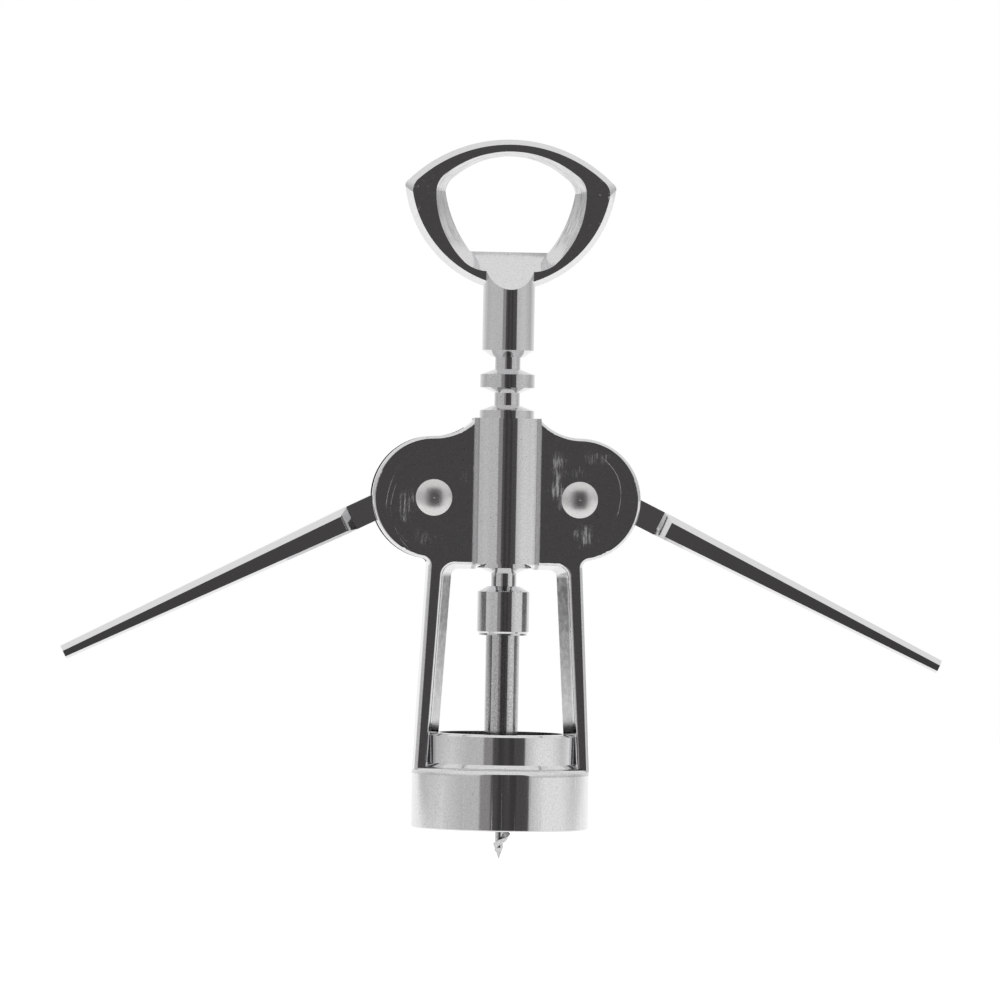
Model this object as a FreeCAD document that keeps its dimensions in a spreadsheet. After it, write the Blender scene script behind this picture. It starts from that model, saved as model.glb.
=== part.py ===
import FreeCAD, Part
import os
import re

import Sketcher
from FreeCAD import Placement, Rotation, Vector

# Wing corkscrew, standing upright on a bottle. Millimetres and degrees.
# The origin is the centre of the seat inside the bell that rests on the bottle's lip, +Z runs up the screw,
# the front of the casting faces -Y and the levers swing left and right in the XZ plane.

SIZES = {
    # bell that centres the tool on the bottle neck
    "bellBore": 16.2,
    "bellWall": 3.2,
    "bellDepth": 11.0,
    "bellShoulder": 2.4,
    "shoulderRound": 1.6,
    "rimChamfer": 0.25,
    "bellLedge": 3.1,
    "collarRingWall": 2.8,
    "collarRingRise": 7.3,
    "collarRingChamfer": 0.5,
    "ringRootChamfer": 0.8,
    # casting: two cheek plates, the rack tube and two legs
    "cheekWall": 2.0,
    "lobeRadius": 13.4,
    "pivotHeight": 60.8,
    "edgeRound": 0.85,
    "shoulderRadius": 12.0,
    "crotchRadius": 1.5,
    "legFootInset": 0.3,
    "legTopOffset": 0.15,
    "legWidth": 5.3,
    "legFootWidth": 4.9,
    "footSink": 0.8,
    "tubeWall": 1.11,
    "tubeRise": 17.5,
    "tubeFoot": 1.2,
    "tubeBlend": 3.6,
    "webWall": 1.95,
    # window between the legs, drafted from its parting line to both faces
    "windowDrop": 15.4,
    "windowCorner": 1.6,
    "windowSideDraft": 2.4,
    "windowTopDraft": 1.1,
    # annular rack and the gear sectors that climb it
    "gearModule": 2.5,
    "gearTeeth": 9,
    "sectorTeeth": 6,
    "pressureAngle": 20,
    "rackPitchRadius": 4.65,
    "rackAddendum": 1.29,
    "gearAddendum": 1.65,
    "gearDedendum": 1.55,
    "meshBacklash": 0.25,
    "ringCount": 6,
    "ringRise": 2.06,
    "ringsBelow": 2,
    "coreRadius": 2.76,
    # levers
    "leverDepth": 5.0,
    "restDroop": 26.0,
    "armOffset": 3.44,
    "tangLength": 4.6,
    "armRamp": 2.2,
    "armTip": 87.0,
    "rootWidth": 5.45,
    "tipWidth": 3.05,
    "tipDepth": 6.4,
    "rootUpperBevel": 1.4,
    "rootLowerBevel": 0.6,
    "tipUpperBevel": 1.15,
    "tipLowerBevel": 0.55,
    # pivot rivets
    "rivetHead": 3.97,
    "rivetDome": 1.3,
    "rivetShank": 2.6,
    "rivetStep": 0.5,
    "spigotLength": 0.5,
    # screw: handle, collar and worm
    "stemRadius": 5.64,
    "stemDrop": 6.7,
    "stemChamfer": 1.5,
    "stemLength": 13.08,
    "handleSocket": 8.0,
    "loopDepth": 4.4,
    "crownWall": 3.6,
    "earWall": 8.8,
    "earLift": 0.6,
    "earTip": 1.5,
    "earTipRun": 0.7,
    "earTipRise": 1.8,
    "earFace": 3.7,
    "earFaceInset": 0.25,
    "earFaceDrop": 1.0,
    "earFaceRun": 1.45,
    "earFaceRise": 3.1,
    "sideRadius": 25.7,
    "loopFootLift": 0.4,
    "loopFootHalf": 4.0,
    "loopBevel": 1.2,
    "tongueRise": 8.4,
    "liftHalf": 8.2,
    "liftSetBack": 1.44,
    "liftCorner": 0.9,
    "liftCornerRun": 0.8,
    "liftCornerRise": 0.6,
    # mouth of the loop, narrowest at its parting line and wider towards both faces
    "openingHalf": 14.2,
    "openingRise": 13.0,
    "crownRise": 7.9,
    "openingSide": 28.0,
    "openingCorner": 4.8,
    "cornerInset": 2.3,
    "cornerRise": 3.5,
    "openingDraft": 2.2,
    "openingTopDraft": 0.9,
    "openingRelief": 0.5,
    "faceSide": 20.8,
    "faceFootHalf": 5.5,
    "faceCorner": 7.8,
    "faceCornerRun": 4.35,
    "faceCornerRise": 1.7,
    "collarRadius": 5.66,
    "collarDrop": 6.63,
    "collarLength": 9.45,
    "collarChamfer": 1.2,
    "collarLip": 0.4,
    "collarSocket": 5.0,
    "wormShank": 3.67,
    "shankLength": 24.07,
    "wormCore": 0.9,
    "wormLength": 24.8,
    "wormPoint": 2.5,
    "wormRadius": 3.5,
    "grindAngle": 26,
    "wormPitch": 5.0,
    "flightCrest": 0.5,
    "flightRoot": 1.7,
    # clearances
    "seatGap": 0.02,
    "runningGap": 0.05,
    "guideGap": 0.3,
    "sideGap": 0.1,
}

# Sizes that follow from the driving ones.
RULES = {
    # bell and the ring above it
    "bellRadius": "bellBore + bellWall",
    "collarRingRadius": "bellRadius - bellLedge",
    "corkPassage": "collarRingRadius - collarRingWall",
    "collarRingTop": "bellShoulder + collarRingRise",
    "footHeight": "bellShoulder - footSink",
    # levers between the cheeks
    "slotDepth": "leverDepth + 2 * sideGap",
    "plateDepth": "slotDepth + 2 * cheekWall",
    "halfDepth": "plateDepth / 2",
    "armShoulder": "lobeRadius + tangLength",
    "rivetSpigot": "rivetShank - rivetStep",
    # gear and rack
    "pitchRadius": "gearModule * gearTeeth / 2",
    "pivotX": "rackPitchRadius + pitchRadius",
    "rackPitch": "pi * gearModule",
    "toothStep": "360 / gearTeeth",
    "baseRadius": "pitchRadius * cos(pressureAngle)",
    "tipRadius": "pitchRadius + gearAddendum",
    "rootRadius": "pitchRadius - gearDedendum",
    "ringRadius": "rackPitchRadius + rackAddendum",
    "tubeBore": "ringRadius + guideGap",
    "tubeRadius": "tubeBore + tubeWall",
    "webX": "tubeRadius + webWall",
    "cavityRadius": "tipRadius + guideGap",
    "ringHeight": "pivotHeight + ringRise",
    "topRing": "ringHeight + (ringCount - 1 - ringsBelow) * rackPitch",
    "lowRing": "ringHeight - ringsBelow * rackPitch",
    # heights and corners of the casting's outline
    "tubeTop": "pivotHeight + tubeRise",
    "windowTop": "pivotHeight - windowDrop",
    "tubeBottom": "windowTop + tubeFoot",
    "legFootX": "bellRadius - legFootInset",
    "legLean": "atan((legFootX - pivotX - legTopOffset) / (pivotHeight - footHeight)) / 1 deg",
    "windowFootHalf": "legFootX - legFootWidth",
    "windowTopHalf": "pivotX + legTopOffset + windowDrop * tan(legLean) - legWidth",
    "crotchSpan": "lobeRadius + crotchRadius",
    "crotchReach": "legTopOffset * cos(legLean) + crotchRadius",
    "crotchRun": "sqrt(crotchSpan^2 - crotchReach^2)",
    "crotchX": "pivotX + crotchReach * cos(legLean) + crotchRun * sin(legLean)",
    "crotchZ": "pivotHeight + crotchReach * sin(legLean) - crotchRun * cos(legLean)",
    "crotchFootX": "crotchX - crotchRadius * cos(legLean)",
    "crotchFootZ": "crotchZ - crotchRadius * sin(legLean)",
    "crotchEndX": "crotchX - (crotchX - pivotX) * crotchRadius / crotchSpan",
    "crotchEndZ": "crotchZ + (pivotHeight - crotchZ) * crotchRadius / crotchSpan",
    "shoulderRise": "pivotHeight + lobeRadius + shoulderRadius - tubeTop",
    "shoulderEndX": "pivotX - sqrt(shoulderRadius^2 - shoulderRise^2)",
    # where the tube's round front runs out into the cheeks
    "blendSpan": "tubeRadius + tubeBlend",
    "blendX": "sqrt(blendSpan^2 - (halfDepth + tubeBlend)^2)",
    "tubeJoinX": "blendX * tubeRadius / blendSpan",
    "tubeJoinY": "(halfDepth + tubeBlend) * tubeRadius / blendSpan",
    "webTop": "pivotHeight + sqrt(cavityRadius^2 - (pivotX - webX)^2)",
    # one gear tooth: half its width at the base circle and at the tip, as angles at the pivot
    "pitchHalf": "(rackPitch / 2 - meshBacklash / 2) / pitchRadius * 90 / pi",
    "involuteAtPitch": "tan(pressureAngle) * 180 / pi - pressureAngle",
    "baseHalf": "pitchHalf + involuteAtPitch",
    "tipPressure": "acos(baseRadius / tipRadius) / 1 deg",
    "tipHalf": "baseHalf - tan(tipPressure) * 180 / pi + tipPressure",
    "flankRadius": "sqrt(((baseRadius + tipRadius) / 2)^2 - baseRadius^2)",
    "meshAngle": "(ringRise - rackPitch / 2) / pitchRadius * 180 / pi",
    "firstTooth": "180 + restDroop - meshAngle + 2 * toothStep",
    # one rack ring: half its width at the core and at the rim
    "ringRimHalf": "rackPitch / 4 - meshBacklash / 4 - rackAddendum * tan(pressureAngle)",
    "ringCoreHalf": "ringRimHalf + (ringRadius - coreRadius) * tan(pressureAngle)",
    "domeRadius": "(rivetHead^2 + rivetDome^2) / (2 * rivetDome)",
    # screw
    "stemBottom": "topRing + stemDrop",
    "stemTip": "stemBottom - stemChamfer",
    "collarTop": "lowRing - collarDrop",
    "collarBottom": "collarTop - collarLength",
    "shankTop": "collarBottom + collarSocket",
    "shankEnd": "collarBottom - shankLength",
    # the worm's flight, and the cone that its end is ground to
    "wormFoot": "shankEnd - wormLength",
    "flightStart": "wormFoot + wormPoint",
    "grindFoot": "wormCore + seatGap",
    "grindTop": "flightStart + (wormRadius - grindFoot) / tan(grindAngle)",
    # the handle's loop and its mouth
    "tongueFoot": "stemBottom + stemLength",
    "liftEdge": "tongueFoot + tongueRise",
    "loopFoot": "tongueFoot + loopFootLift",
    "openingHeight": "liftEdge + openingRise",
    "openingTop": "openingHeight + crownRise",
    "loopTop": "openingTop + crownWall",
    "earX": "openingHalf + earWall",
    "earHeight": "openingHeight + earLift",
    "halfLoop": "loopDepth / 2",
    "tongueSlope": "(liftEdge - tongueFoot) / (liftSetBack + stemRadius)",
    "tongueFace": "liftEdge - tongueSlope * (liftSetBack + halfLoop)",
}

PAST = 1.0  # how far a cut runs past the face that it opens

document = FreeCAD.newDocument("wing_corkscrew")
sheet = document.addObject("Spreadsheet::Sheet", "Sizes")
for row, (size_name, size) in enumerate(SIZES.items(), start=1):
    sheet.set(f"A{row}", size_name)
    sheet.set(f"B{row}", str(size))
    sheet.setAlias(f"B{row}", size_name)
document.recompute()


def formula(text):
    """Write a rule in cells of the sheet: rules are opened, and each cell gets the sheet's name."""

    def spelled(match):
        name = match.group(0)
        if name in RULES:
            return "(" + formula(RULES[name]) + ")"
        return "Sizes." + name if name in SIZES else name

    return re.sub(r"[A-Za-z]\w*", spelled, str(text))


def number(text):
    """The value of a rule."""
    return float(sheet.evalExpression(formula(text)))


def bind(item, path, text):
    """Tie a property to a rule."""
    item.setExpression(path, formula(text))


def sketch(body, name, plane, lift=None, turn=None):
    """An empty sketch on one of the body's own planes, lifted along its normal and turned about it."""
    drawing = body.newObject("Sketcher::SketchObject", name)
    drawing.AttachmentSupport = (origin_part(body, plane), [""])
    drawing.MapMode = "FlatFace"
    if lift:
        bind(drawing, "AttachmentOffset.Base.z", lift)
    if turn:
        bind(drawing, "AttachmentOffset.Rotation.Angle", turn)
    return drawing


def origin_part(body, role):
    """A plane or an axis of the body's origin."""
    return next(item for item in body.Origin.OriginFeatures if item.Role == role)


def fix_point(drawing, edge, end, across, up):
    """Hold a point of the sketch at two rules, measured from the sketch's origin."""
    for kind, rule in (("DistanceX", across), ("DistanceY", up)):
        index = drawing.addConstraint(Sketcher.Constraint(kind, -1, 1, edge, end, number(rule)))
        bind(drawing, f"Constraints[{index}]", rule)


def draw_circle(drawing, across, up, radius):
    """A circle whose centre and radius are rules."""
    centre = Vector(number(across), number(up), 0)
    edge = drawing.addGeometry(Part.Circle(centre, Vector(0, 0, 1), number(radius)), False)
    fix_point(drawing, edge, 3, across, up)
    index = drawing.addConstraint(Sketcher.Constraint("Radius", edge, number(radius)))
    bind(drawing, f"Constraints[{index}]", radius)


def arc_between(start, end, radius):
    """The short arc from start to end: it bulges to the right of the way for a positive radius."""
    chord = end - start
    left = Vector(-chord.y, chord.x, 0).normalize()
    reach = (radius * radius - chord.Length * chord.Length / 4) ** 0.5
    centre = (start + end) / 2 + left * reach * (1 if radius > 0 else -1)
    first, last = (start, end) if radius > 0 else (end, start)
    circle = Part.Circle(centre, Vector(0, 0, 1), abs(radius))
    return Part.ArcOfCircle(circle, circle.parameter(first), circle.parameter(last))


def draw_outline(drawing, corners):
    """A closed outline, drawn anticlockwise.

    A corner is two rules and, if the edge that leaves it is an arc, that arc's radius as a third:
    positive where the arc bulges out of the outline, negative where it cuts in.
    """
    points = [Vector(number(corner[0]), number(corner[1]), 0) for corner in corners]
    ends = []
    for index, corner in enumerate(corners):
        start, end = points[index], points[(index + 1) % len(points)]
        if len(corner) == 2:
            edge = drawing.addGeometry(Part.LineSegment(start, end), False)
            ends.append((edge, 1, 2))
            continue
        radius = number(corner[2])
        edge = drawing.addGeometry(arc_between(start, end, radius), False)
        ends.append((edge, 1, 2) if radius > 0 else (edge, 2, 1))
        rule = corner[2] if radius > 0 else f"-({corner[2]})"
        held = drawing.addConstraint(Sketcher.Constraint("Radius", edge, abs(radius)))
        bind(drawing, f"Constraints[{held}]", rule)
    for index, corner in enumerate(corners):
        edge, first, _ = ends[index]
        before, _, last = ends[index - 1]
        drawing.addConstraint(Sketcher.Constraint("Coincident", before, last, edge, first))
        fix_point(drawing, edge, first, corner[0], corner[1])


def both_sides(right, foot=()):
    """A whole outline from the corners of its right half, listed from the bottom up.

    The foot is the radius of the edge that joins the two halves at the bottom, if that edge is an arc.
    """
    left = []
    for index in range(len(right) - 1, -1, -1):
        arc = right[index - 1][2:] if index else foot
        left.append((f"-({right[index][0]})", right[index][1]) + tuple(arc))
    return list(right) + left


def rise_radius(half, rise):
    """The radius of an arc over a chord of twice half, as high as rise."""
    return f"(({half})^2 + ({rise})^2) / (2 * ({rise}))"


def feature(body, kind, name, profile=None, rules=None, **settings):
    """A PartDesign feature that becomes the body's tip: settings are plain, rules are tied to the sheet."""
    made = body.newObject("PartDesign::" + kind, name)
    if profile is not None:
        made.Profile = profile
    for key, setting in settings.items():
        setattr(made, key, setting)
    for key, rule in (rules or {}).items():
        bind(made, key, rule)
    volume = body.Shape.Volume if body.Shape and not body.Shape.isNull() else 0.0
    body.Tip = made
    document.recompute()
    if abs(made.Shape.Volume - volume) < 1e-6:
        raise RuntimeError(f"{body.Label}: {name} changes nothing")
    return made


def mirrored(body, name, original, plane):
    """The same feature on the other side of one of the body's planes."""
    return feature(body, "Mirrored", name, Originals=[original], MirrorPlane=(origin_part(body, plane), [""]))


def edges_where(shape, test):
    """Names of the edges whose middle passes the test."""
    names = []
    for index, edge in enumerate(shape.Edges, start=1):
        middle = edge.valueAt((edge.FirstParameter + edge.LastParameter) / 2)
        if test(edge, middle):
            names.append(f"Edge{index}")
    return names


def new_body(name):
    """An empty body whose label names its file."""
    body = document.addObject("PartDesign::Body", name)
    body.Label = name
    return body


def turned(body, name, kind, corners):
    """A profile in the XZ plane spun about Z, added or cut away."""
    profile = sketch(body, name + "_profile", "XZ_Plane")
    draw_outline(profile, corners)
    return feature(body, kind, name, profile, ReferenceAxis=(origin_part(body, "Z_Axis"), [""]), Angle=360)


def near(first, second, within=1e-4):
    """Whether two numbers are the same length."""
    return abs(first - second) < within


# ---- the casting ------------------------------------------------------------------------------------------


def window_corners(top_half, foot_half, top, corner):
    """Right half of the window between the legs."""
    return [
        (foot_half, f"footHeight - {PAST}"),
        (top_half, f"{top} - ({corner})", corner),
        (f"{top_half} - ({corner})", top),
    ]


def build_body_frame():
    """Cheeks, rack tube, legs and bell, cast as one piece."""
    body = new_body("body_frame")
    cheeks = sketch(body, "cheek_outline", "XZ_Plane")
    draw_outline(
        cheeks,
        [
            ("0", "footHeight"),
            ("legFootX", "footHeight"),
            ("crotchFootX", "crotchFootZ", "-crotchRadius"),
            ("crotchEndX", "crotchEndZ", "lobeRadius"),
            ("pivotX + lobeRadius", "pivotHeight", "lobeRadius"),
            ("pivotX", "pivotHeight + lobeRadius", "-shoulderRadius"),
            ("shoulderEndX", "tubeTop"),
            ("0", "tubeTop"),
        ],
    )
    right_half = feature(body, "Pad", "right_half", cheeks, {"Length": "plateDepth"}, SideType="Symmetric")
    mirrored(body, "left_half", right_half, "YZ_Plane")

    middle = sketch(body, "window_parting", "XZ_Plane")
    narrow = window_corners("windowTopHalf", "windowFootHalf", "windowTop", "windowCorner")
    draw_outline(middle, both_sides(narrow))
    face = sketch(body, "window_face", "XZ_Plane", lift="halfDepth")
    wide = window_corners(
        "windowTopHalf + windowSideDraft",
        "windowFootHalf + windowSideDraft",
        "windowTop + windowTopDraft",
        "windowCorner + windowTopDraft",
    )
    draw_outline(face, both_sides(wide))
    front = feature(body, "SubtractiveLoft", "window_front", middle, Sections=[face], Ruled=True)
    window = mirrored(body, "window_back", front, "XZ_Plane")

    # the edges of both faces are rounded, but not where the tube and the bell cover them
    depth, top, foot = number("halfDepth"), number("tubeTop"), number("footHeight")

    def stays_bare(edge, middle):
        return near(abs(middle.y), depth) and not near(middle.z, top) and not near(middle.z, foot)

    names = edges_where(window.Shape, stays_bare)
    feature(body, "Fillet", "soft_edges", rules={"Radius": "edgeRound"}, Base=(window, names))

    turned(
        body,
        "bell",
        "Revolution",
        [
            ("0", "-bellDepth"),
            ("bellRadius - rimChamfer", "-bellDepth"),
            ("bellRadius", "rimChamfer - bellDepth"),
            ("bellRadius", "bellShoulder - shoulderRound", "shoulderRound"),
            ("bellRadius - shoulderRound", "bellShoulder"),
            ("collarRingRadius + ringRootChamfer", "bellShoulder"),
            ("collarRingRadius", "bellShoulder + ringRootChamfer"),
            ("collarRingRadius", "collarRingTop - collarRingChamfer"),
            ("collarRingRadius - collarRingChamfer", "collarRingTop"),
            ("0", "collarRingTop"),
        ],
    )
    turned(
        body,
        "bottle_bore",
        "Groove",
        [
            ("0", f"-bellDepth - {PAST}"),
            ("bellBore", f"-bellDepth - {PAST}"),
            ("bellBore", "0"),
            ("corkPassage", "0"),
            ("corkPassage", f"collarRingTop + {PAST}"),
            ("0", f"collarRingTop + {PAST}"),
        ],
    )

    barrel = sketch(body, "tube_outline", "XY_Plane", lift="tubeBottom")
    draw_outline(
        barrel,
        both_sides(
            [
                ("tubeJoinX", "-(tubeJoinY)", "-tubeBlend"),
                ("blendX", "-(halfDepth)"),
                ("blendX", "halfDepth", "-tubeBlend"),
                ("tubeJoinX", "tubeJoinY", "tubeRadius"),
            ],
            foot=("tubeRadius",),
        ),
    )
    feature(body, "Pad", "rack_tube", barrel, {"Length": "tubeTop - tubeBottom"})

    hole = sketch(body, "bore_circle", "XY_Plane", lift=f"tubeTop + {PAST}")
    draw_circle(hole, "0", "0", "tubeBore")
    feature(body, "Pocket", "rack_bore", hole, {"Length": f"tubeTop - windowTop + 2 * {PAST}"})

    slot = sketch(body, "slot_outline", "XZ_Plane")
    draw_outline(
        slot,
        [
            ("pivotX", "pivotHeight - cavityRadius"),
            ("crotchFootX + sideGap", "pivotHeight - cavityRadius"),
            ("crotchFootX + sideGap", f"crotchZ - {PAST}"),
            (f"pivotX + lobeRadius + {PAST}", f"crotchZ - {PAST}"),
            (f"pivotX + lobeRadius + {PAST}", f"tubeTop + {PAST}"),
            ("webX", f"tubeTop + {PAST}"),
            ("webX", "webTop", "cavityRadius"),
        ],
    )
    right_slot = feature(body, "Pocket", "right_slot", slot, {"Length": "slotDepth"}, SideType="Symmetric")
    mirrored(body, "left_slot", right_slot, "YZ_Plane")

    holes = sketch(body, "rivet_circles", "XZ_Plane")
    for side in ("", "-"):
        draw_circle(holes, f"{side}(pivotX)", "pivotHeight", "rivetShank + seatGap")
    feature(body, "Pocket", "rivet_holes", holes, {"Length": f"plateDepth + {PAST}"}, SideType="Symmetric")
    return body


# ---- levers and their rivets ------------------------------------------------------------------------------


def arm_section(body, name, along, width, depth, upper, lower):
    """One cross-section of a lever's arm: a bar with bevelled edges, wider bevels on its upper side."""
    section = sketch(body, name, "YZ_Plane", lift=along)
    low, high = f"armOffset - ({width}) / 2", f"armOffset + ({width}) / 2"
    side = f"({depth}) / 2"
    draw_outline(
        section,
        both_sides(
            [
                (f"{side} - ({lower})", low),
                (side, f"{low} + ({lower})"),
                (side, f"{high} - ({upper})"),
                (f"{side} - ({upper})", high),
            ]
        ),
    )
    return section


def build_lever(side, turn_about_z):
    """A lever drawn with its arm along +X from the pivot, then hung in the casting at its resting angle."""
    body = new_body("lever_" + side)
    disc = sketch(body, "hub_circle", "XZ_Plane")
    draw_circle(disc, "0", "0", "rootRadius")
    feature(body, "Pad", "hub", disc, {"Length": "leverDepth"}, SideType="Symmetric")

    tooth = sketch(body, "tooth_outline", "XZ_Plane", turn="firstTooth")
    draw_outline(
        tooth,
        [
            (f"rootRadius - {PAST}", "-baseRadius * sin(baseHalf)"),
            ("baseRadius * cos(baseHalf)", "-baseRadius * sin(baseHalf)", "flankRadius"),
            ("tipRadius * cos(tipHalf)", "-tipRadius * sin(tipHalf)", "tipRadius"),
            ("tipRadius * cos(tipHalf)", "tipRadius * sin(tipHalf)", "flankRadius"),
            ("baseRadius * cos(baseHalf)", "baseRadius * sin(baseHalf)"),
            (f"rootRadius - {PAST}", "baseRadius * sin(baseHalf)"),
        ],
    )
    first = feature(body, "Pad", "first_tooth", tooth, {"Length": "leverDepth"}, SideType="Symmetric")
    feature(
        body,
        "PolarPattern",
        "gear_sector",
        rules={"Occurrences": "sectorTeeth", "Angle": "(sectorTeeth - 1) * toothStep"},
        Originals=[first],
        Axis=(origin_part(body, "Y_Axis"), [""]),
    )

    tang = sketch(body, "tang_outline", "XZ_Plane")
    low, high = "armOffset - rootWidth / 2", "armOffset + rootWidth / 2"
    draw_outline(tang, [("0", low), ("armShoulder", low), ("armShoulder", high), ("0", high)])
    feature(body, "Pad", "tang", tang, {"Length": "leverDepth"}, SideType="Symmetric")

    heel = arm_section(body, "heel", "armShoulder", "rootWidth", "leverDepth", "sideGap", "sideGap")
    ramp_end = "armShoulder + armRamp"
    root = arm_section(body, "root", ramp_end, "rootWidth", "plateDepth", "rootUpperBevel", "rootLowerBevel")
    tip = arm_section(body, "tip", "armTip", "tipWidth", "tipDepth", "tipUpperBevel", "tipLowerBevel")
    feature(body, "AdditiveLoft", "arm", heel, Sections=[root, tip], Ruled=True)

    bore = sketch(body, "pivot_circle", "XZ_Plane")
    draw_circle(bore, "0", "0", "rivetShank + runningGap")
    feature(body, "Pocket", "pivot_bore", bore, {"Length": f"leverDepth + {PAST}"}, SideType="Symmetric")

    turn = f"rotation(vector(0; 0; 1); {turn_about_z}) * rotation(vector(0; 1; 0); restDroop)"
    across = "-pivotX" if turn_about_z else "pivotX"
    bind(body, "Placement", f"placement(vector({across}; 0; pivotHeight); {turn})")
    return body


def stand_on_pivot(body, sign):
    """Lay a part drawn along Z on a pivot's axis, its Z towards the back."""
    body.Placement = Placement(Vector(), Rotation(Vector(1, 0, 0), -90))
    bind(body, "Placement.Base.x", f"{sign}(pivotX)")
    bind(body, "Placement.Base.z", "pivotHeight")


def build_pivot_rivet(side, sign):
    """A domed rivet from the front, with a stepped end that its cap is pressed on."""
    body = new_body("pivot_rivet_" + side)
    turned(
        body,
        "rivet",
        "Revolution",
        [
            ("0", "-(halfDepth) - rivetDome", "domeRadius"),
            ("rivetHead", "-(halfDepth)"),
            ("rivetShank", "-(halfDepth)"),
            ("rivetShank", "halfDepth"),
            ("rivetSpigot", "halfDepth"),
            ("rivetSpigot", "halfDepth + spigotLength"),
            ("0", "halfDepth + spigotLength"),
        ],
    )
    stand_on_pivot(body, sign)
    return body


def build_rivet_cap(side, sign):
    """The domed cap behind the casting."""
    body = new_body("rivet_cap_" + side)
    turned(
        body,
        "cap",
        "Revolution",
        [
            ("0", "halfDepth + spigotLength + sideGap"),
            ("rivetSpigot + seatGap", "halfDepth + spigotLength + sideGap"),
            ("rivetSpigot + seatGap", "halfDepth"),
            ("rivetHead", "halfDepth", "domeRadius"),
            ("0", "halfDepth + rivetDome"),
        ],
    )
    stand_on_pivot(body, sign)
    return body


# ---- the screw --------------------------------------------------------------------------------------------


def build_rack_spindle():
    """The shaft with its rings, a rack that meshes the same at every turn of the screw."""
    body = new_body("rack_spindle")
    turned(
        body,
        "core",
        "Revolution",
        [
            ("0", "shankTop + guideGap"),
            ("coreRadius", "shankTop + guideGap"),
            ("coreRadius", "stemTip + handleSocket - guideGap"),
            ("0", "stemTip + handleSocket - guideGap"),
        ],
    )
    ring = turned(
        body,
        "low_ring",
        "Revolution",
        [
            (f"coreRadius - {PAST}", "lowRing - ringCoreHalf"),
            ("coreRadius", "lowRing - ringCoreHalf"),
            ("ringRadius", "lowRing - ringRimHalf"),
            ("ringRadius", "lowRing + ringRimHalf"),
            ("coreRadius", "lowRing + ringCoreHalf"),
            (f"coreRadius - {PAST}", "lowRing + ringCoreHalf"),
        ],
    )
    feature(
        body,
        "LinearPattern",
        "rings",
        rules={"Occurrences": "ringCount", "Length": "(ringCount - 1) * rackPitch"},
        Originals=[ring],
        Direction=(origin_part(body, "Z_Axis"), [""]),
    )
    return body


def loop_corners(ear, bevel):
    """Right half of the loop's outline, a bevel's width in from its parting line.

    It runs up the side, round the ear and over the crown that joins both ears. The ear is the place where its
    arc starts, the arc's run and rise, and its radius.
    """
    ear_x, ear_z, run, rise, radius = ear
    crown_x, crown_z = f"({ear_x}) - {run}", f"({ear_z}) + {rise}"
    return [
        ("loopFootHalf", f"loopFoot + ({bevel})", f"sideRadius - ({bevel})"),
        (ear_x, ear_z, radius),
        (crown_x, crown_z, rise_radius(crown_x, f"loopTop - ({bevel}) - ({crown_z})")),
    ]


def opening_corners(grow, top_grow, side, foot):
    """Right half of the opener's mouth: its foot, a rounded corner, the side, an upper corner and the crown.

    The foot is the place where its corner starts, the corner's run and rise, and its radius.
    """
    foot_x, foot_z, run, rise, radius = foot
    side_x = f"openingHalf + ({grow})"
    corner_x = f"({side_x}) - cornerInset"
    corner_z = f"openingHeight + cornerRise + ({top_grow}) / 2"
    return [
        (foot_x, foot_z, radius),
        (f"{foot_x} + {run}", f"{foot_z} + {rise}", side),
        (side_x, "openingHeight", "openingCorner"),
        (corner_x, corner_z, rise_radius(corner_x, f"openingTop + ({top_grow}) - ({corner_z})")),
    ]


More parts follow.
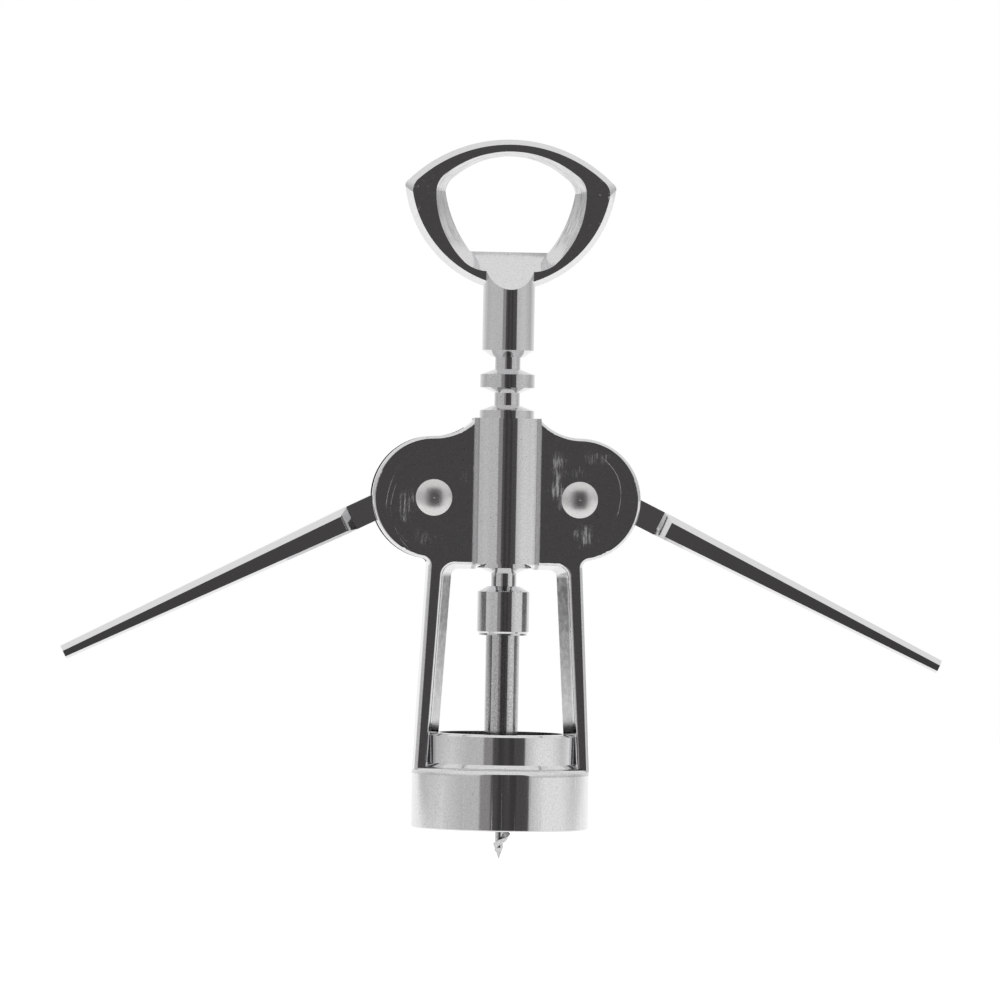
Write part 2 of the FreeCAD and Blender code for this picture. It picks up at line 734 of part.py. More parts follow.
def build_opener_handle():
    """The handle: a stem over the rack, and a flat loop that also lifts crown caps."""
    body = new_body("opener_handle")
    middle = sketch(body, "loop_parting", "XZ_Plane")
    ear_tip = ("earX", "earHeight", "earTipRun", "earTipRise", "earTip")
    draw_outline(middle, both_sides(loop_corners(ear_tip, "0")))
    face = sketch(body, "loop_face", "XZ_Plane", lift="halfLoop")
    ear_face_x = "earX - loopBevel - earFaceInset"
    ear_face = (ear_face_x, "earHeight - earFaceDrop", "earFaceRun", "earFaceRise", "earFace")
    draw_outline(face, both_sides(loop_corners(ear_face, "loopBevel")))
    front = feature(body, "AdditiveLoft", "loop_front", middle, Sections=[face], Ruled=True)
    mirrored(body, "loop_back", front, "XZ_Plane")

    turned(
        body,
        "stem",
        "Revolution",
        [
            ("0", "stemTip"),
            ("coreRadius + stemChamfer / 2", "stemTip"),
            ("stemRadius", "stemBottom"),
            ("stemRadius", "liftEdge - sideGap"),
            ("0", "liftEdge - sideGap"),
        ],
    )

    edge_foot = ("liftHalf", "liftEdge", "liftCornerRun", "liftCornerRise", "liftCorner")
    face_foot = ("faceFootHalf", "tongueFace", "faceCornerRun", "faceCornerRise", "faceCorner")
    mouth = sketch(body, "mouth_parting", "XZ_Plane", lift="-liftSetBack")
    draw_outline(mouth, both_sides(opening_corners("0", "0", "openingSide", edge_foot)))
    mouth_front = sketch(body, "mouth_front", "XZ_Plane", lift="halfLoop")
    front_corners = opening_corners("openingDraft", "openingTopDraft", "faceSide", face_foot)
    draw_outline(mouth_front, both_sides(front_corners))
    feature(body, "SubtractiveLoft", "mouth_wall", mouth, Sections=[mouth_front], Ruled=True)
    mouth_back = sketch(body, "mouth_back", "XZ_Plane", lift="-halfLoop")
    back_corners = opening_corners("openingRelief", "openingRelief", "openingSide", edge_foot)
    draw_outline(mouth_back, both_sides(back_corners))
    feature(body, "SubtractiveLoft", "mouth_rim", mouth, Sections=[mouth_back], Ruled=True)

    wedge = sketch(body, "tongue_outline", "YZ_Plane")
    far = f"stemRadius + {PAST}"
    draw_outline(
        wedge,
        [
            (f"-({far})", f"tongueFoot - tongueSlope * {PAST}"),
            ("-halfLoop", "tongueFace"),
            ("-halfLoop", f"liftEdge + {PAST}"),
            (f"-({far})", f"liftEdge + {PAST}"),
        ],
    )
    across = {"Length": f"2 * stemRadius + {PAST}"}
    tongue = feature(body, "Pocket", "tongue", wedge, across, SideType="Symmetric")
    mirrored(body, "tongue_back", tongue, "XZ_Plane")

    socket = sketch(body, "socket_circle", "XY_Plane", lift="stemTip")
    draw_circle(socket, "0", "0", "coreRadius + runningGap")
    feature(body, "Pocket", "spindle_socket", socket, {"Length": "handleSocket"}, Reversed=True)
    return body


def build_worm_collar():
    """The collar that joins the rack to the worm."""
    body = new_body("worm_collar")
    turned(
        body,
        "collar",
        "Revolution",
        [
            ("wormShank + seatGap", "collarBottom"),
            ("collarRadius - collarLip", "collarBottom"),
            ("collarRadius - collarLip", "collarBottom + collarLip"),
            ("collarRadius", "collarBottom + 2 * collarLip"),
            ("collarRadius", "collarTop"),
            ("coreRadius + runningGap + collarChamfer / 2", "collarTop + collarChamfer"),
            ("coreRadius + runningGap", "collarTop + collarChamfer"),
            ("coreRadius + runningGap", "shankTop"),
            ("wormShank + seatGap", "shankTop"),
        ],
    )
    return body


def build_worm():
    """The worm: a shank and, below it, an auger whose flight is ground to a point."""
    body = new_body("worm")
    turned(
        body,
        "shank",
        "Revolution",
        [
            ("0", "wormFoot"),
            ("wormCore", "flightStart"),
            ("wormCore", "shankEnd - wormShank"),
            ("wormShank", "shankEnd"),
            ("wormShank", "shankTop"),
            ("0", "shankTop"),
        ],
    )
    flight = sketch(body, "flight_section", "XZ_Plane")
    draw_outline(
        flight,
        [
            ("-wormCore / 2", "flightStart - flightRoot / 2"),
            ("-wormCore / 2", "flightStart + flightRoot / 2"),
            ("-wormRadius", "flightStart + flightCrest / 2"),
            ("-wormRadius", "flightStart - flightCrest / 2"),
        ],
    )
    feature(
        body,
        "AdditiveHelix",
        "flight",
        flight,
        {"Pitch": "wormPitch", "Height": "shankEnd + flightRoot / 2 - flightStart"},
        ReferenceAxis=(origin_part(body, "Z_Axis"), [""]),
        Mode="pitch-height-angle",
    )
    turned(
        body,
        "point",
        "Groove",
        [
            ("grindFoot", f"wormFoot - {PAST}"),
            (f"wormRadius + {PAST}", f"wormFoot - {PAST}"),
            (f"wormRadius + {PAST}", f"grindTop + {PAST} / tan(grindAngle)"),
            ("grindFoot", "flightStart"),
        ],
    )
    return body


def build_parts():
    """Every piece of the corkscrew."""
    bodies = [build_body_frame()]
    for side, sign, turn in (("right", "", 0), ("left", "-", 180)):
        bodies.append(build_lever(side, turn))
        bodies.append(build_pivot_rivet(side, sign))
        bodies.append(build_rivet_cap(side, sign))
    bodies += [build_rack_spindle(), build_opener_handle(), build_worm_collar(), build_worm()]
    return bodies


def export(bodies):
    """Check the document and every piece, then write one STEP file for each piece."""
    document.recompute()
    for item in document.Objects:
        if "Invalid" in item.State or "Error" in item.State:
            raise RuntimeError(f"{item.Label} failed: {item.State}")
    for body in bodies:
        if body.Shape.isNull() or not body.Shape.isValid() or len(body.Shape.Solids) != 1:
            raise RuntimeError(f"{body.Label} isn't one valid solid")
    os.makedirs("parts", exist_ok=True)
    for body in bodies:
        body.Shape.exportStep(f"parts/{body.Label}.step")
        print(f"{body.Label:20s} {body.Shape.Volume:9.1f} mm3")


export(build_parts())
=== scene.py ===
"""Wing corkscrew in bright chrome plate, held up in a white studio tent."""

import math

import bpy
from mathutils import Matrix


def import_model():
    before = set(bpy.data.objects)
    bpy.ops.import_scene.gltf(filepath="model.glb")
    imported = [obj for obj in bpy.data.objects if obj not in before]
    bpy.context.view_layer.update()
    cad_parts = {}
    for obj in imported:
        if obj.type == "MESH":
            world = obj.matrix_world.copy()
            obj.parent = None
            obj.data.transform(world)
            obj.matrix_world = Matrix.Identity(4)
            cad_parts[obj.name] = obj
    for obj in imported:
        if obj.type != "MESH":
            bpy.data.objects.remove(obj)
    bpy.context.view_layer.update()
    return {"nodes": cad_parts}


MM = 0.001

# The camera looks level at the front of the casting, a little from its left, through a long lens.
CAMERA_DISTANCE = 1.6
VIEW_WIDTH = 0.218  # what the frame spans at the screw's axis
CAMERA_SIDE = -1.15 * MM
CAMERA_HEIGHT = 60.5 * MM
CAMERA_TURN = math.radians(4.5)
CAMERA_ROLL = math.radians(-1.06)
SENSOR = 36.0

FLOOR_DROP = 120 * MM  # the tool is held up: its floor lies this far under the bell's seat
FLOOR_SIDE = 2.2  # how far the floor runs to the left and right
FLOOR_BACK = 4.0
FLOOR_FRONT = 0.25  # how far it runs to the front, where the tent is open

# the tent's opening, in angles from the camera's direction
OPENING_MIDDLE = math.radians(6)
OPENING_HALF_WIDTH = math.radians(32)
OPENING_HALF_HEIGHT = math.radians(36)
OPENING_CORNERS = 6.0  # the power that squares its corners: 2 would make it an ellipse
ROOM_SPAN = 40  # how far the room behind it is drawn to each side, in degrees

WHITE = (1.0, 1.0, 1.0, 1.0)
ROOF_GREY = (0.9, 0.9, 0.9, 1.0)
ROOM_TINT = (1.03, 0.985, 1.0, 1.0)  # a trace of pink on the room's greys

COORDINATES = "ShaderNodeTexCoord"
MAPPING = "ShaderNodeMapping"
MATH = "ShaderNodeMath"
MIX = "ShaderNodeMix"
NOISE = "ShaderNodeTexNoise"
RAMP = "ShaderNodeValToRGB"
RANGE = "ShaderNodeMapRange"
VECTOR_MATH = "ShaderNodeVectorMath"
VORONOI = "ShaderNodeTexVoronoi"


# ---- colours and nodes --------------------------------------------------------------------------------------


def linear(code):
    """An sRGB hex colour as linear RGBA."""
    channels = [int(code[place : place + 2], 16) / 255 for place in (1, 3, 5)]
    return tuple(c / 12.92 if c <= 0.04045 else ((c + 0.055) / 1.055) ** 2.4 for c in channels) + (1.0,)


def add(tree, kind, inputs=None, stops=(), **settings):
    """One node with its settings and links.

    An input is a value, a node's output, or a node, which stands for its first output. Stops are a ramp's places
    and greys.
    """
    node = tree.nodes.new(kind)
    for name, value in settings.items():
        setattr(node, name, value)
    for name, value in (inputs or {}).items():
        if isinstance(value, bpy.types.Node):
            value = value.outputs[0]
        if isinstance(value, bpy.types.NodeSocket):
            tree.links.new(value, node.inputs[name])
        else:
            node.inputs[name].default_value = value
    if stops:
        points = node.color_ramp.elements
        while len(points) < len(stops):
            points.new(1.0)
        for point, (where, grey) in zip(points, stops):
            point.position = where
            point.color = (grey, grey, grey, 1.0)
    return node


# ---- finishes -----------------------------------------------------------------------------------------------


def plated(name, colour, polish, waves, grain, pits, marks=None, skin_and_shade=None, lathe=0.0):
    """Bright plate over a worked surface.

    Polish is the clean roughness, waves the height of the slow unevenness under the plate, grain how far its fine
    speckle shades it and pits how dark its pinholes are. Marks gives the places that handling has dulled, and the
    second mask the places that are greyer and rougher: on the loop those plated as cast because no wheel reaches
    them, and on the window's walls a painted shade. Lathe is how deep turning marks run round the screw.
    """
    material = bpy.data.materials.new(name)
    material.use_nodes = True
    tree = material.node_tree
    shader = tree.nodes["Principled BSDF"]
    shader.inputs["Metallic"].default_value = 1.0
    place = add(tree, COORDINATES).outputs["Object"]

    # a faint haze in blotches about 4 mm across, and what handling adds to it
    haze = add(tree, NOISE, {"Vector": place, "Scale": 1 / (4 * MM), "Detail": 4.0})
    rough = add(tree, RANGE, {"Value": haze, "To Min": polish - 0.02, "To Max": polish + 0.03})
    if marks:
        rough = add(tree, MATH, {0: rough, 1: marks(tree, place)}, operation="ADD")
    if skin_and_shade:
        cast_skin_and_shade = skin_and_shade(tree, place)
        rough = add(tree, MATH, {0: cast_skin_and_shade, 1: 0.3, 2: rough}, operation="MULTIPLY_ADD")
    tree.links.new(rough.outputs[0], shader.inputs["Roughness"])

    # pinholes a fifth of a millimetre across, at most one in each 1.4 mm, and only in places
    cells = add(tree, VORONOI, {"Vector": place, "Scale": 1 / (1.4 * MM)})
    far = cells.outputs["Distance"]
    hole = add(tree, RANGE, {"Value": far, "From Min": 0.05, "From Max": 0.11, "To Min": 1.0, "To Max": 0.0})
    crowd = add(tree, NOISE, {"Vector": place, "Scale": 1 / (6 * MM), "Detail": 2.0})
    crowd = add(tree, RANGE, {"Value": crowd, "From Min": 0.48, "From Max": 0.6})
    hole = add(tree, MATH, {0: hole, 1: crowd}, operation="MULTIPLY")

    # fine speckle, a third of a millimetre across
    speckle = add(tree, NOISE, {"Vector": place, "Scale": 1 / (0.34 * MM), "Detail": 3.0, "Roughness": 0.7})
    speckle = add(tree, RANGE, {"Value": speckle, "From Min": 0.35, "From Max": 0.7, "To Max": grain})
    shade = add(tree, MIX, {0: speckle, 6: linear(colour), 7: linear("#8a8889")}, data_type="RGBA")
    dark = add(tree, MATH, {0: hole, 1: pits}, operation="MULTIPLY")
    shade = add(tree, MIX, {0: dark, 6: shade.outputs[2], 7: linear("#4c4a4a")}, data_type="RGBA")
    # greyer where the second mask is set: as-cast plate on the loop, painted shade on the window's walls
    if skin_and_shade:
        shade = add(tree, MIX, {0: cast_skin_and_shade, 6: shade.outputs[2], 7: linear("#7c7b7c")}, data_type="RGBA")
    tree.links.new(shade.outputs[2], shader.inputs["Base Color"])

    # relief, in units of two thousandths of a millimetre: slow waves 8 mm long, the speckle's grain, the pinholes
    # and turning marks
    slow = add(tree, NOISE, {"Vector": place, "Scale": 1 / (8 * MM), "Detail": 1.0})
    relief = add(tree, MATH, {0: slow, 1: waves}, operation="MULTIPLY")
    relief = add(tree, MATH, {0: speckle, 1: -0.8, 2: relief}, operation="MULTIPLY_ADD")
    relief = add(tree, MATH, {0: hole, 1: -1.5, 2: relief}, operation="MULTIPLY_ADD")
    if lathe:
        squeezed = add(tree, MAPPING, {"Vector": place, "Scale": (0.02, 0.02, 1.0)})
        rings = add(tree, NOISE, {"Vector": squeezed, "Scale": 1 / (0.16 * MM), "Detail": 2.0})
        relief = add(tree, MATH, {0: rings, 1: lathe, 2: relief}, operation="MULTIPLY_ADD")
    bump = add(tree, "ShaderNodeBump", {"Height": relief, "Strength": 1.0, "Distance": 0.002 * MM})
    tree.links.new(bump.outputs["Normal"], shader.inputs["Normal"])
    return material


# dulled patches on the cheeks: centre across and up, half width and half height, in millimetres, and how dull
PATCHES = [
    (-21.9, 59.2, 2.6, 4.6, 0.55),
    (-9.5, 66.0, 2.0, 3.5, 0.2),
    (11.0, 65.0, 2.3, 8.5, 0.55),
    (19.8, 70.0, 3.6, 2.0, 0.5),
    (17.0, 53.0, 3.4, 3.2, 0.6),
    (15.2, 66.4, 2.8, 2.2, 0.35),
    (-18.0, 52.0, 4.5, 2.4, 0.3),
]
# hairlines near the cheeks' rims: each arc's centre across and up and its radius, in millimetres, and how dull
ARCS = [(-14.5, 60.0, 11.8, 0.4), (-12.0, 58.5, 13.4, 0.35), (13.5, 61.5, 11.3, 0.4)]
ARC_DRIFT = 3.0  # the width, in millimetres, within which a hairline strays about its arc


def corner_strips(tree, aside, up):
    """The corners along the rack tube, 6.9 mm off the middle, where the wheel leaves a dull strip."""
    off = add(tree, MATH, {0: aside, 1: 6.9 * MM}, operation="SUBTRACT")
    off = add(tree, MATH, {0: off}, operation="ABSOLUTE")
    strip = add(
        tree, RANGE, {"Value": off, "From Min": 0.3 * MM, "From Max": 0.7 * MM, "To Min": 0.5, "To Max": 0.0}
    )
    high_up = add(tree, RANGE, {"Value": up, "From Min": 43 * MM, "From Max": 44 * MM})
    return add(tree, MATH, {0: strip, 1: high_up}, operation="MULTIPLY")


def dull_patches(tree, place, total):
    """Hatched patches with ragged edges, added to the total so far."""
    leaning = add(tree, MAPPING, {"Vector": place, "Rotation": (0.0, 0.18, 0.0), "Scale": (1.0, 1.0, 0.1)})
    hatch = add(tree, NOISE, {"Vector": leaning, "Scale": 1 / (0.5 * MM), "Detail": 3.0, "Roughness": 0.7})
    hatch = add(tree, RANGE, {"Value": hatch, "From Min": 0.36, "From Max": 0.66})
    ragged = add(tree, NOISE, {"Vector": place, "Scale": 1 / (2.2 * MM), "Detail": 3.0})
    # a trace of the ragged noise dulls the whole casting
    total = add(tree, MATH, {0: ragged, 1: 0.02, 2: total}, operation="MULTIPLY_ADD")
    for across, up, wide, high, dull in PATCHES:
        centred = add(
            tree,
            MAPPING,
            {"Vector": place, "Location": (across * MM, 0.0, up * MM), "Scale": (wide * MM, 1.0, high * MM)},
            vector_type="TEXTURE",
        )
        far = add(tree, VECTOR_MATH, {0: centred}, operation="LENGTH").outputs["Value"]
        far = add(tree, MATH, {0: ragged, 1: 1.6, 2: far}, operation="MULTIPLY_ADD")
        inside = add(
            tree, RANGE, {"Value": far, "From Min": 1.1, "From Max": 1.9, "To Min": dull, "To Max": 0.0}
        )
        total = add(tree, MATH, {0: inside, 1: hatch, 2: total}, operation="MULTIPLY_ADD")
    return total


def rim_hairlines(tree, place, aside, total):
    """Broken hairlines in arcs near the cheeks' rims, added to the total so far."""
    drift = add(tree, NOISE, {"Vector": place, "Scale": 1 / (14 * MM), "Detail": 1.0})
    breaks = add(tree, NOISE, {"Vector": place, "Scale": 1 / (7 * MM), "Detail": 1.0})
    breaks = add(tree, RANGE, {"Value": breaks, "From Min": 0.4, "From Max": 0.52})
    near_rim = add(tree, RANGE, {"Value": aside, "From Min": 20.5 * MM, "From Max": 22 * MM})
    breaks = add(tree, MATH, {0: breaks, 1: near_rim}, operation="MULTIPLY")
    for across, up, radius, dull in ARCS:
        centred = add(tree, VECTOR_MATH, {0: place, 1: (across * MM, 0.0, up * MM)}, operation="SUBTRACT")
        flat = add(tree, VECTOR_MATH, {0: centred, 1: (1.0, 0.0, 1.0)}, operation="MULTIPLY")
        far = add(tree, VECTOR_MATH, {0: flat}, operation="LENGTH").outputs["Value"]
        far = add(tree, MATH, {0: drift, 1: ARC_DRIFT * MM, 2: far}, operation="MULTIPLY_ADD")
        off = add(tree, MATH, {0: far, 1: (radius + ARC_DRIFT / 2) * MM}, operation="SUBTRACT")
        off = add(tree, MATH, {0: off}, operation="ABSOLUTE")
        line = add(
            tree, RANGE, {"Value": off, "From Min": 0.04 * MM, "From Max": 0.14 * MM, "To Min": dull, "To Max": 0.0}
        )
        total = add(tree, MATH, {0: line, 1: breaks, 2: total}, operation="MULTIPLY_ADD")
    return total


def cheek_marks(tree, place):
    """Where hands and cloths have dulled the cheeks."""
    parts = add(tree, "ShaderNodeSeparateXYZ", {0: place})
    aside = add(tree, MATH, {0: parts.outputs["X"]}, operation="ABSOLUTE")
    total = corner_strips(tree, aside, parts.outputs["Z"])
    total = dull_patches(tree, place, total)
    return rim_hairlines(tree, place, aside, total)


def bell_marks(tree, place):
    """Upright hairlines on the bell, a fifth of a millimetre wide, where bottles have rubbed it."""
    up = add(tree, "ShaderNodeSeparateXYZ", {0: place}).outputs["Z"]
    low_down = add(
        tree, RANGE, {"Value": up, "From Min": 1 * MM, "From Max": 2 * MM, "To Min": 1.0, "To Max": 0.0}
    )
    drawn = add(tree, MAPPING, {"Vector": place, "Scale": (1.0, 1.0, 0.01)})
    lines = add(tree, NOISE, {"Vector": drawn, "Scale": 1 / (0.6 * MM), "Detail": 2.0, "Roughness": 0.5})
    lines = add(tree, RANGE, {"Value": lines, "From Min": 0.62, "From Max": 0.7, "To Max": 0.38})
    return add(tree, MATH, {0: lines, 1: low_down}, operation="MULTIPLY")


def frame_marks(tree, place):
    """All that handling has dulled on the casting."""
    return add(tree, MATH, {0: cheek_marks(tree, place), 1: bell_marks(tree, place)}, operation="ADD")


def window_painted_shade(tree, place):
    """How much painted shade, grey and rough, the walls of the window between the legs get: most under the cheeks,
    least at the foot.
    """
    parts = add(tree, "ShaderNodeSeparateXYZ", {0: place})
    across = add(tree, MATH, {0: parts.outputs["X"]}, operation="ABSOLUTE")
    deep = add(tree, MATH, {0: parts.outputs["Y"]}, operation="ABSOLUTE")
    up = parts.outputs["Z"]
    # the legs lean inwards by 0.061 mm for each millimetre up, and their faces are 4.6 mm off the middle
    leant = add(tree, MATH, {0: up, 1: 0.061, 2: across}, operation="MULTIPLY_ADD")
    inner = add(
        tree, RANGE, {"Value": leant, "From Min": 16.9 * MM, "From Max": 17.3 * MM, "To Min": 1.0, "To Max": 0.0}
    )
    behind = add(
        tree, RANGE, {"Value": deep, "From Min": 3.4 * MM, "From Max": 4.2 * MM, "To Min": 1.0, "To Max": 0.0}
    )
    fade = add(
        tree, RANGE, {"Value": up, "From Min": 12 * MM, "From Max": 38 * MM, "To Min": 0.3, "To Max": 0.85}
    )
    under = add(
        tree, RANGE, {"Value": up, "From Min": 43.6 * MM, "From Max": 44.6 * MM, "To Min": 1.0, "To Max": 0.0}
    )
    over = add(tree, RANGE, {"Value": up, "From Min": 9.8 * MM, "From Max": 10.4 * MM})
    # the grey is painted shade that stands in for the darker reflections these walls show; the mask also roughens
    # them
    mottle = add(tree, NOISE, {"Vector": place, "Scale": 1 / (1.6 * MM), "Detail": 4.0, "Roughness": 0.65})
    total = add(tree, RANGE, {"Value": mottle, "From Min": 0.3, "From Max": 0.6, "To Min": 0.7, "To Max": 1.1})
    for part in (inner, behind, fade, under, over):
        total = add(tree, MATH, {0: total, 1: part}, operation="MULTIPLY")
    return total


def ear_marks(tree, place):
    """Where fingers have worn the loop: small dull spots that crowd towards its ears."""
    out = add(tree, "ShaderNodeSeparateXYZ", {0: place}).outputs["X"]
    out = add(tree, MATH, {0: out}, operation="ABSOLUTE")
    near_ear = add(tree, RANGE, {"Value": out, "From Min": 12 * MM, "From Max": 21 * MM})
    spots = add(tree, NOISE, {"Vector": place, "Scale": 1 / (1.1 * MM), "Detail": 4.0, "Roughness": 0.65})
    spots = add(tree, RANGE, {"Value": spots, "From Min": 0.56, "From Max": 0.7, "To Max": 0.5})
    return add(tree, MATH, {0: spots, 1: near_ear}, operation="MULTIPLY")


def mouth_skin(tree, place):
    """Streaks of unpolished cast surface on the loop's inner walls, which face the middle of its mouth."""
    middle = (0.0, 0.0, 125 * MM)
    inward = add(tree, VECTOR_MATH, {0: middle, 1: place}, operation="SUBTRACT")
    inward = add(tree, VECTOR_MATH, {0: inward}, operation="NORMALIZE")
    faced = add(
        tree, VECTOR_MATH, {0: inward, 1: add(tree, COORDINATES).outputs["Normal"]}, operation="DOT_PRODUCT"
    )
    wall = add(tree, RANGE, {"Value": faced.outputs["Value"], "From Min": 0.35, "From Max": 0.55})
    up = add(tree, "ShaderNodeSeparateXYZ", {0: place}).outputs["Z"]
    over = add(tree, RANGE, {"Value": up, "From Min": 115 * MM, "From Max": 117 * MM})
    # the streaks run along the wall: 0.35 mm from one to the next, and some 4 mm long
    drawn = add(tree, MAPPING, {"Vector": place, "Scale": (0.09, 1.0, 0.09)})
    streaks = add(tree, NOISE, {"Vector": drawn, "Scale": 1 / (0.35 * MM), "Detail": 3.0, "Roughness": 0.7})
    total = add(tree, RANGE, {"Value": streaks, "From Min": 0.4, "From Max": 0.7, "To Max": 0.55})
    for part in (wall, over):
        total = add(tree, MATH, {0: total, 1: part}, operation="MULTIPLY")
    return total


def cast_zinc_chrome():
    """Chrome plate on polished die-cast zinc: a mirror with slow waves and pinholes, dulled where it is handled."""
    return plated(
        "cast_zinc_chrome", "#e6e6e7", polish=0.07, waves=3.0, grain=0.3, pits=0.75,
        marks=frame_marks, skin_and_shade=window_painted_shade,
    )


def lever_chrome():
    """The same plate on the levers, whose flats are ground truer: a cleaner, straighter mirror."""
    return plated("lever_chrome", "#e6e6e7", polish=0.07, waves=1.2, grain=0.08, pits=0.35)


def handle_chrome():
    """The same plate on the handle: its mirror is worn in small spots where fingers turn it."""
    return plated(
        "handle_chrome", "#e6e6e7", polish=0.07, waves=2.6, grain=0.24, pits=0.6,
        marks=ear_marks, skin_and_shade=mouth_skin,
    )


def turned_chrome():
    """Chrome plate on turned steel: straight reflections, with faint rings from the lathe."""
    return plated("turned_chrome", "#e2e2e3", polish=0.07, waves=0.8, grain=0.4, pits=0.7, lathe=0.25)


def worm_plate():
    """Thin plate on drawn steel rod: greyer and duller, with the rod's open grain."""
    return plated("worm_plate", "#d8d8d8", polish=0.12, waves=0.8, grain=0.7, pits=0.8, lathe=0.3)


def rivet_nickel():
    """Nickel plate on pressed rivets: soft-edged reflections."""
    return plated("rivet_nickel", "#dedddc", polish=0.3, waves=1.0, grain=0.25, pits=0.5)


# ---- studio -------------------------------------------------------------------------------------------------


def from_middle(tree, angle, half):
    """How far an angle off the opening's middle reaches, to the corners' power: 1 at the opening's edge."""
    far = add(tree, MATH, {0: angle, 1: half}, operation="DIVIDE")
    far = add(tree, MATH, {0: far}, operation="ABSOLUTE")
    return add(tree, MATH, {0: far, 1: OPENING_CORNERS}, operation="POWER")


def studio_world():
    """A white tent round the tool. A dark room shows through its opening, on the camera's side."""
    world = bpy.data.worlds.new("studio")
    bpy.context.scene.world = world
    world.use_nodes = True
    tree = world.node_tree
    tree.nodes.clear()
    # the tent stands square to where the tool is looked at from, not to the tool
    way = add(tree, COORDINATES).outputs["Generated"]
    turned = add(tree, MAPPING, {"Vector": way, "Rotation": (0.0, 0.0, CAMERA_TURN)})
    parts = add(tree, "ShaderNodeSeparateXYZ", {0: turned})
    forward = add(tree, MATH, {0: parts.outputs["Y"], 1: -1.0}, operation="MULTIPLY")
    bearing = add(tree, MATH, {0: parts.outputs["X"], 1: forward}, operation="ARCTAN2")
    rise = add(tree, MATH, {0: parts.outputs["Z"]}, operation="ARCSINE")

    # the tent by bearing, in degrees from the camera's side: a grey seam on both sides, and white behind.
    # Its lower part is lit from the floor, and its upper part is greyer.
    low_tent = [
        (-180, 1.0), (-150, 0.95), (-125, 0.5), (-100, 0.7), (-80, 0.8), (-50, 0.6), (40, 0.65), (60, 1.0),
        (85, 1.0), (110, 0.7), (135, 0.95), (180, 1.0),
    ]
    high_tent = [
        (-180, 0.95), (-140, 0.85), (-105, 0.55), (-90, 0.6), (40, 0.6), (75, 0.67), (115, 0.52), (140, 0.8),
        (180, 0.95),
    ]
    round_tent = add(tree, RANGE, {"Value": bearing, "From Min": -math.pi, "From Max": math.pi})
    low = add(tree, RAMP, {0: round_tent}, stops=[((degrees + 180) / 360, grey) for degrees, grey in low_tent])
    high = add(tree, RAMP, {0: round_tent}, stops=[((degrees + 180) / 360, grey) for degrees, grey in high_tent])
    # the lower greys turn into the upper ones from 2.6 degrees under the level to 1.4 over it, and all of them
    # into the roof's from 7 to 37 degrees up or down
    level = add(tree, RANGE, {"Value": parts.outputs["Z"], "From Min": -0.045, "From Max": 0.025})
    sides = add(tree, MIX, {0: level, 6: low, 7: high}, data_type="RGBA")
    height = add(tree, MATH, {0: parts.outputs["Z"]}, operation="ABSOLUTE")
    roof = add(tree, RANGE, {"Value": height, "From Min": 0.12, "From Max": 0.6})
    lit = add(tree, MIX, {0: roof, 6: sides.outputs[2], 7: ROOF_GREY}, data_type="RGBA")

    # the room, in degrees from the camera: a grey wall on the left, then the dark, which is a little paler from 7
    # to 12 and from 22 on
    room = [
        (-40, 0.3), (-13, 0.3), (-11, 0.09), (-4, 0.08), (-2, 0.05), (4, 0.06), (7, 0.075), (12, 0.075),
        (14, 0.055), (21, 0.055), (22, 0.1), (24, 0.08), (40, 0.09),
    ]
    span = math.radians(ROOM_SPAN)
    round_room = add(tree, RANGE, {"Value": bearing, "From Min": -span, "From Max": span})
    stops = [((degrees + ROOM_SPAN) / (2 * ROOM_SPAN), grey) for degrees, grey in room]
    walls = add(tree, RAMP, {0: round_room}, stops=stops)
    tinted = add(tree, MIX, {0: 1.0, 6: walls, 7: ROOM_TINT}, data_type="RGBA", blend_type="MULTIPLY")

    # the opening is a rectangle with round corners and a soft edge
    across = add(tree, MATH, {0: bearing, 1: OPENING_MIDDLE}, operation="SUBTRACT")
    across = from_middle(tree, across, OPENING_HALF_WIDTH)
    upward = from_middle(tree, rise, OPENING_HALF_HEIGHT)
    outside = add(tree, MATH, {0: across, 1: upward}, operation="ADD")
    opening = add(
        tree, RANGE, {"Value": outside, "From Min": 0.85, "From Max": 1.2, "To Min": 1.0, "To Max": 0.0}
    )
    round_about = add(tree, MIX, {0: opening, 6: lit.outputs[2], 7: tinted.outputs[2]}, data_type="RGBA")

    seen = add(tree, "ShaderNodeLightPath").outputs["Is Camera Ray"]
    colour = add(tree, MIX, {0: seen, 6: round_about.outputs[2], 7: WHITE}, data_type="RGBA")
    light = add(tree, "ShaderNodeBackground", {"Color": colour.outputs[2], "Strength": 1.0})
    add(tree, "ShaderNodeOutputWorld", {"Surface": light})


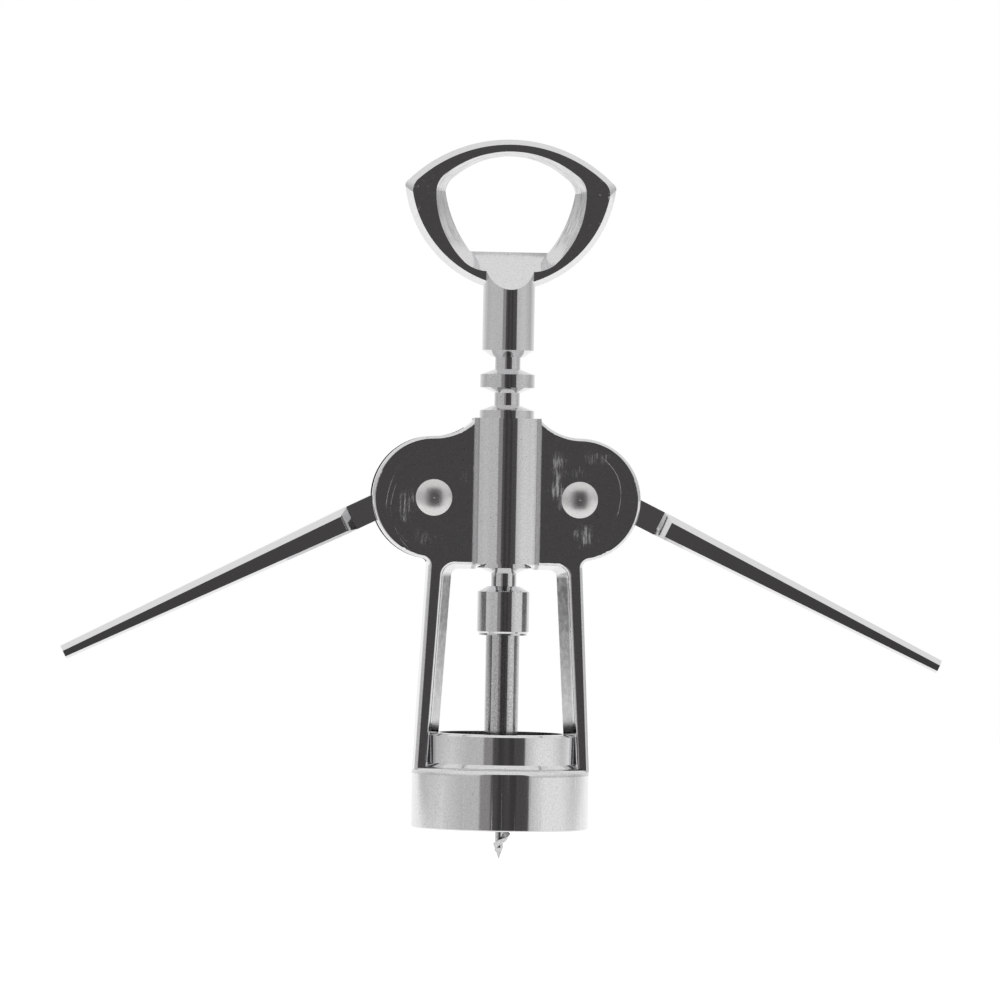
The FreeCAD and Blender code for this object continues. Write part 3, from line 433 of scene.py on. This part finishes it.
def studio_floor():
    """A wide white floor, far under the tool. It ends a short way in front of it, where the tent is open."""
    mesh = bpy.data.meshes.new("floor")
    corners = [
        (-FLOOR_SIDE, -FLOOR_FRONT, -FLOOR_DROP),
        (FLOOR_SIDE, -FLOOR_FRONT, -FLOOR_DROP),
        (FLOOR_SIDE, FLOOR_BACK, -FLOOR_DROP),
        (-FLOOR_SIDE, FLOOR_BACK, -FLOOR_DROP),
    ]
    mesh.from_pydata(corners, [], [(0, 1, 2, 3)])
    floor = bpy.data.objects.new("floor", mesh)
    bpy.context.scene.collection.objects.link(floor)
    material = bpy.data.materials.new("floor_white")
    material.use_nodes = True
    tree = material.node_tree
    shader = tree.nodes["Principled BSDF"]
    shader.inputs["Base Color"].default_value = linear("#f2f2f2")
    shader.inputs["Roughness"].default_value = 0.9
    shader.inputs["Emission Color"].default_value = WHITE
    # the camera and the metal both see it as white
    path = add(tree, "ShaderNodeLightPath")
    camera, glossy = path.outputs["Is Camera Ray"], path.outputs["Is Glossy Ray"]
    seen = add(tree, MATH, {0: camera, 1: glossy}, operation="MAXIMUM")
    glow = add(tree, MATH, {0: seen, 1: 0.35}, operation="MULTIPLY")
    tree.links.new(glow.outputs[0], shader.inputs["Emission Strength"])
    mesh.materials.append(material)


def studio_camera():
    """A long lens, level with the cheeks."""
    data = bpy.data.cameras.new("camera")
    data.sensor_width = SENSOR
    data.lens = SENSOR * CAMERA_DISTANCE / VIEW_WIDTH
    camera = bpy.data.objects.new("camera", data)
    camera.location = (
        CAMERA_SIDE - CAMERA_DISTANCE * math.sin(CAMERA_TURN),
        -CAMERA_DISTANCE * math.cos(CAMERA_TURN),
        CAMERA_HEIGHT,
    )
    camera.rotation_euler = (math.radians(90), CAMERA_ROLL, -CAMERA_TURN)
    bpy.context.scene.collection.objects.link(camera)
    bpy.context.scene.camera = camera


# ---- the tool -----------------------------------------------------------------------------------------------


def dress(frame):
    """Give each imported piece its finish."""
    levers, rivets, turned = lever_chrome(), rivet_nickel(), turned_chrome()
    finishes = {
        "body_frame": cast_zinc_chrome(),
        "lever_right": levers,
        "lever_left": levers,
        "pivot_rivet_right": rivets,
        "pivot_rivet_left": rivets,
        "rivet_cap_right": rivets,
        "rivet_cap_left": rivets,
        "rack_spindle": turned,
        "worm_collar": turned,
        "worm": worm_plate(),
        "opener_handle": handle_chrome(),
    }
    for name, material in finishes.items():
        piece = frame["nodes"][name]
        piece.data.materials.clear()
        piece.data.materials.append(material)


def main():
    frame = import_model()
    dress(frame)
    studio_world()
    studio_floor()
    studio_camera()
    bpy.context.scene.view_settings.view_transform = "Standard"


main()
